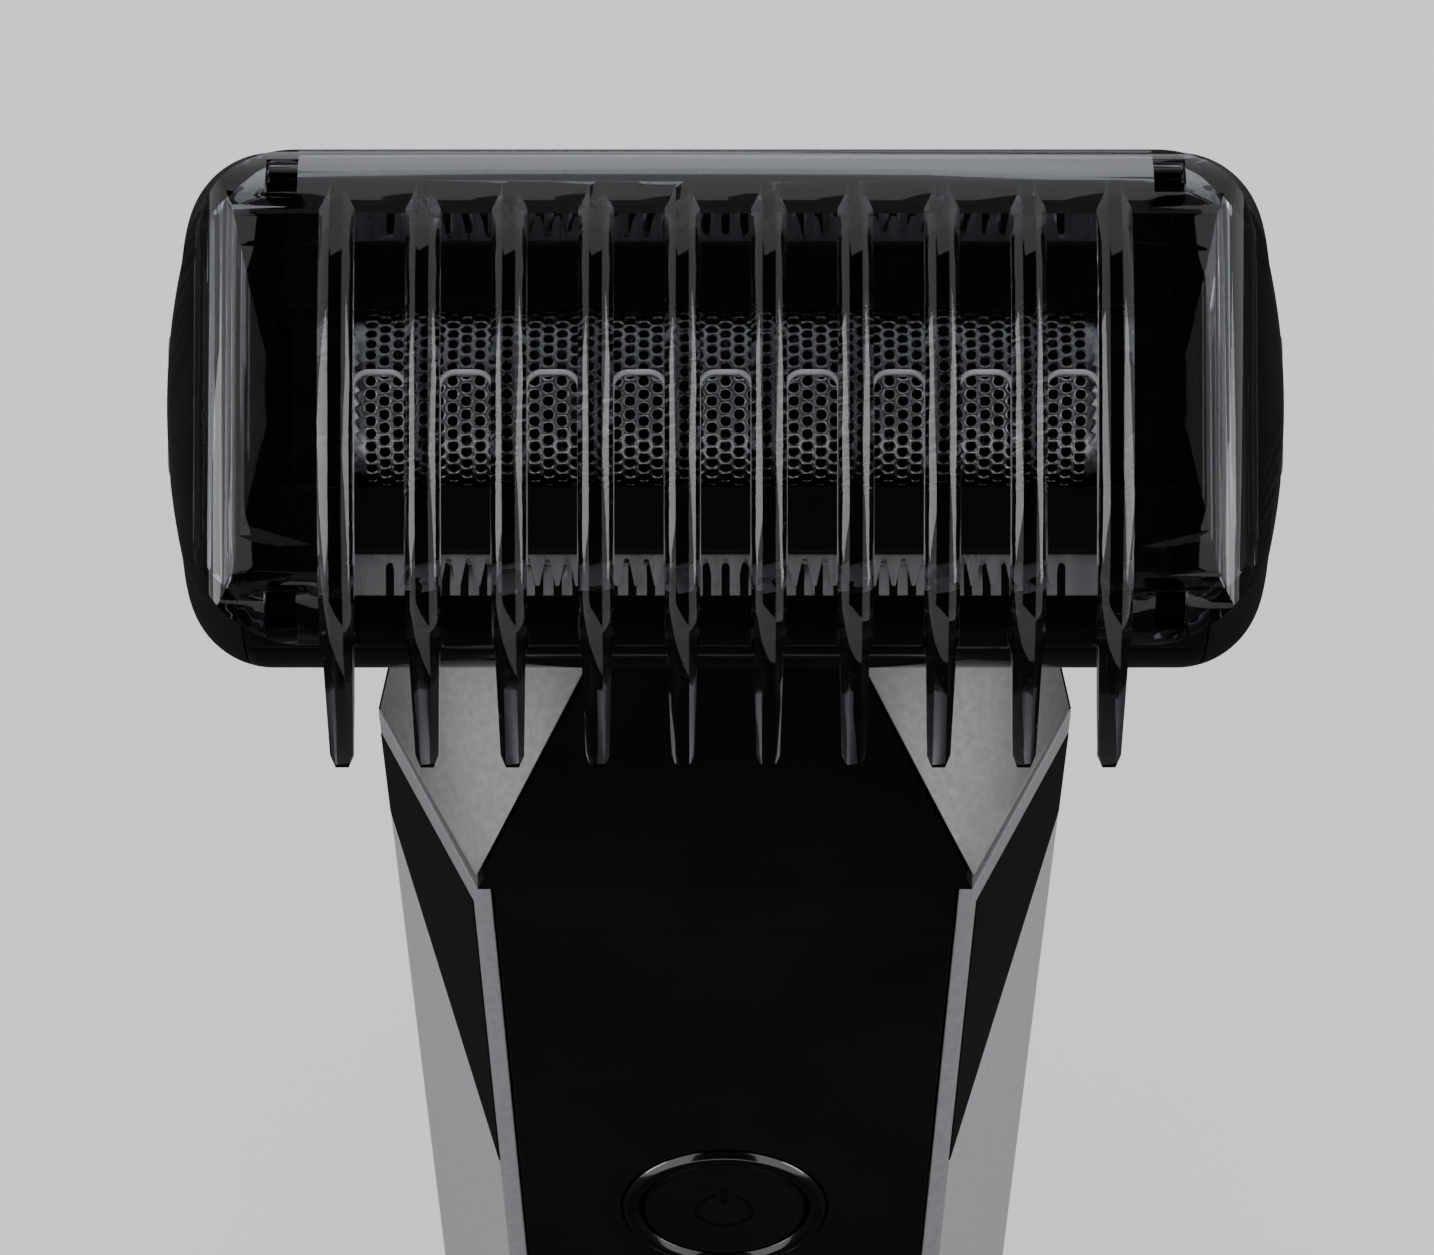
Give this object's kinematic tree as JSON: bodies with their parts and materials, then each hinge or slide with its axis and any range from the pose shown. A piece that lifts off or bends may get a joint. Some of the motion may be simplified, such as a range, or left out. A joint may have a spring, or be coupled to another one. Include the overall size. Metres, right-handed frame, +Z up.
{
  "type": "hair clipper",
  "caption": "Upright hair clipper with a wide tilting foil-and-trimmer head under a clear ribbed comb guard, on a faceted black and silver handle.",
  "frame": {"origin": "centre of the flat base face", "axes": "+Z up along the handle, -Y is the front (panel and power button), X runs along the head"},
  "size_m": [0.0608, 0.0375, 0.1621],
  "materials": {
    "clear_plastic": "polished",
    "black_gloss": "gloss",
    "black_satin": "satin",
    "grey_plastic": "satin",
    "spring_steel": "drawn",
    "blade_steel": "ground",
    "foil_steel": "electroformed",
    "screw_steel": "black oxide",
    "silver_paint": "satin",
    "light_silver": "satin",
    "grip_rubber": "matt",
    "chrome_ring": "polished",
    "lens": "polished",
    "white_plastic": "satin",
    "board": "solder mask",
    "battery_wrap": "shrink wrap",
    "contact_nickel": "nickel plated",
    "motor_steel": "zinc plated",
    "bracket_steel": "stamped",
    "seal_rubber": "matt"
  },
  "bodies": {
    "handle": {"shoulder_housing": "black_gloss", "facet_trim_left": "silver_paint", "facet_trim_right": "silver_paint", "rail_left": "silver_paint", "rail_right": "silver_paint", "front_panel": "black_gloss", "side_shell_left": "light_silver", "side_shell_right": "light_silver", "rear_shell": "black_satin", "rear_grip": "grip_rubber", "base_cap": "black_satin", "charging_socket": "black_satin", "housing_screws": "screw_steel", "button_bezel": "chrome_ring", "indicator_lens": "lens", "tact_switch": "black_satin", "circuit_board": "board", "chassis": "white_plastic", "battery": "battery_wrap", "battery_contacts": "contact_nickel", "motor_body": "motor_steel", "pivot_bracket": "bracket_steel", "neck_seal": "seal_rubber"},
    "rotor": {"motor_shaft": "spring_steel", "eccentric": "white_plastic"},
    "drive": {"drive_arm": "white_plastic"},
    "button": {"power_button": "black_gloss"},
    "head": {"head_housing": "black_gloss", "head_cover": "black_gloss", "end_cap_left": "black_satin", "end_cap_right": "black_satin", "release_springs": "spring_steel", "rear_trimmer_holder": "black_satin", "front_trimmer_holder": "black_satin", "rear_fixed_blade": "blade_steel", "front_fixed_blade": "blade_steel", "foil_springs": "spring_steel", "pivot_pins": "spring_steel", "head_screws": "screw_steel"},
    "foil_cartridge": {"foil_frame": "black_satin", "foil": "foil_steel"},
    "cutter": {"cutter_carrier": "black_satin", "cutter_blades": "blade_steel"},
    "rear_blade": {"rear_moving_blade": "blade_steel"},
    "front_blade": {"front_moving_blade": "blade_steel"},
    "left_release": {"release_button_left": "grey_plastic"},
    "right_release": {"release_button_right": "grey_plastic"},
    "comb": {"comb_guard": "clear_plastic"}
  },
  "joints": [
    {"name": "head_pivot", "type": "hinge", "parent": "handle", "child": "head", "pos_m": [0, -0.003, 0.146], "axis": [1, 0, 0], "range_deg": [-10, 10], "stiffness_Nm_per_rad": 0.4},
    {"name": "foil_float", "type": "slide", "parent": "head", "child": "foil_cartridge", "axis": [0, -0.5736, 0.8192], "range_m": [-0.0008, 0], "stiffness_N_per_m": 800, "springref_m": 0.0004, "deforming": ["foil_springs"]},
    {"name": "cutter_slide", "type": "slide", "parent": "foil_cartridge", "child": "cutter", "axis": [1, 0, 0], "range_m": [-0.0011, 0.0011]},
    {"name": "rear_blade_slide", "type": "slide", "parent": "head", "child": "rear_blade", "axis": [1, 0, 0], "range_m": [-0.0011, 0.0011]},
    {"name": "front_blade_slide", "type": "slide", "parent": "head", "child": "front_blade", "axis": [1, 0, 0], "range_m": [-0.0011, 0.0011]},
    {"name": "drive_slide", "type": "slide", "parent": "handle", "child": "drive", "axis": [1, 0, 0], "range_m": [-0.0011, 0.0011]},
    {"name": "rotor_spin", "type": "hinge", "parent": "handle", "child": "rotor", "pos_m": [0, 0.003, 0.11], "axis": [0, 0, 1], "continuous": true},
    {"name": "comb_lift", "type": "slide", "parent": "head", "child": "comb", "axis": [0, -0.5736, 0.8192], "range_m": [0, 0.025]},
    {"name": "power_press", "type": "slide", "parent": "handle", "child": "button", "axis": [0, 1, 0], "range_m": [0, 0.0006], "stiffness_N_per_m": 600, "springref_m": -0.0004},
    {"name": "left_release_press", "type": "slide", "parent": "head", "child": "left_release", "axis": [1, 0, 0], "range_m": [0, 0.0008], "stiffness_N_per_m": 500, "springref_m": -0.0004, "deforming": ["release_springs"]},
    {"name": "right_release_press", "type": "slide", "parent": "head", "child": "right_release", "axis": [-1, 0, 0], "range_m": [0, 0.0008], "stiffness_N_per_m": 500, "springref_m": -0.0004}
  ],
  "couplings": [
    {"joint": "cutter_slide", "follows": "drive_slide", "ratio": 1},
    {"joint": "rear_blade_slide", "follows": "drive_slide", "ratio": 1},
    {"joint": "front_blade_slide", "follows": "drive_slide", "ratio": 1}
  ]
}
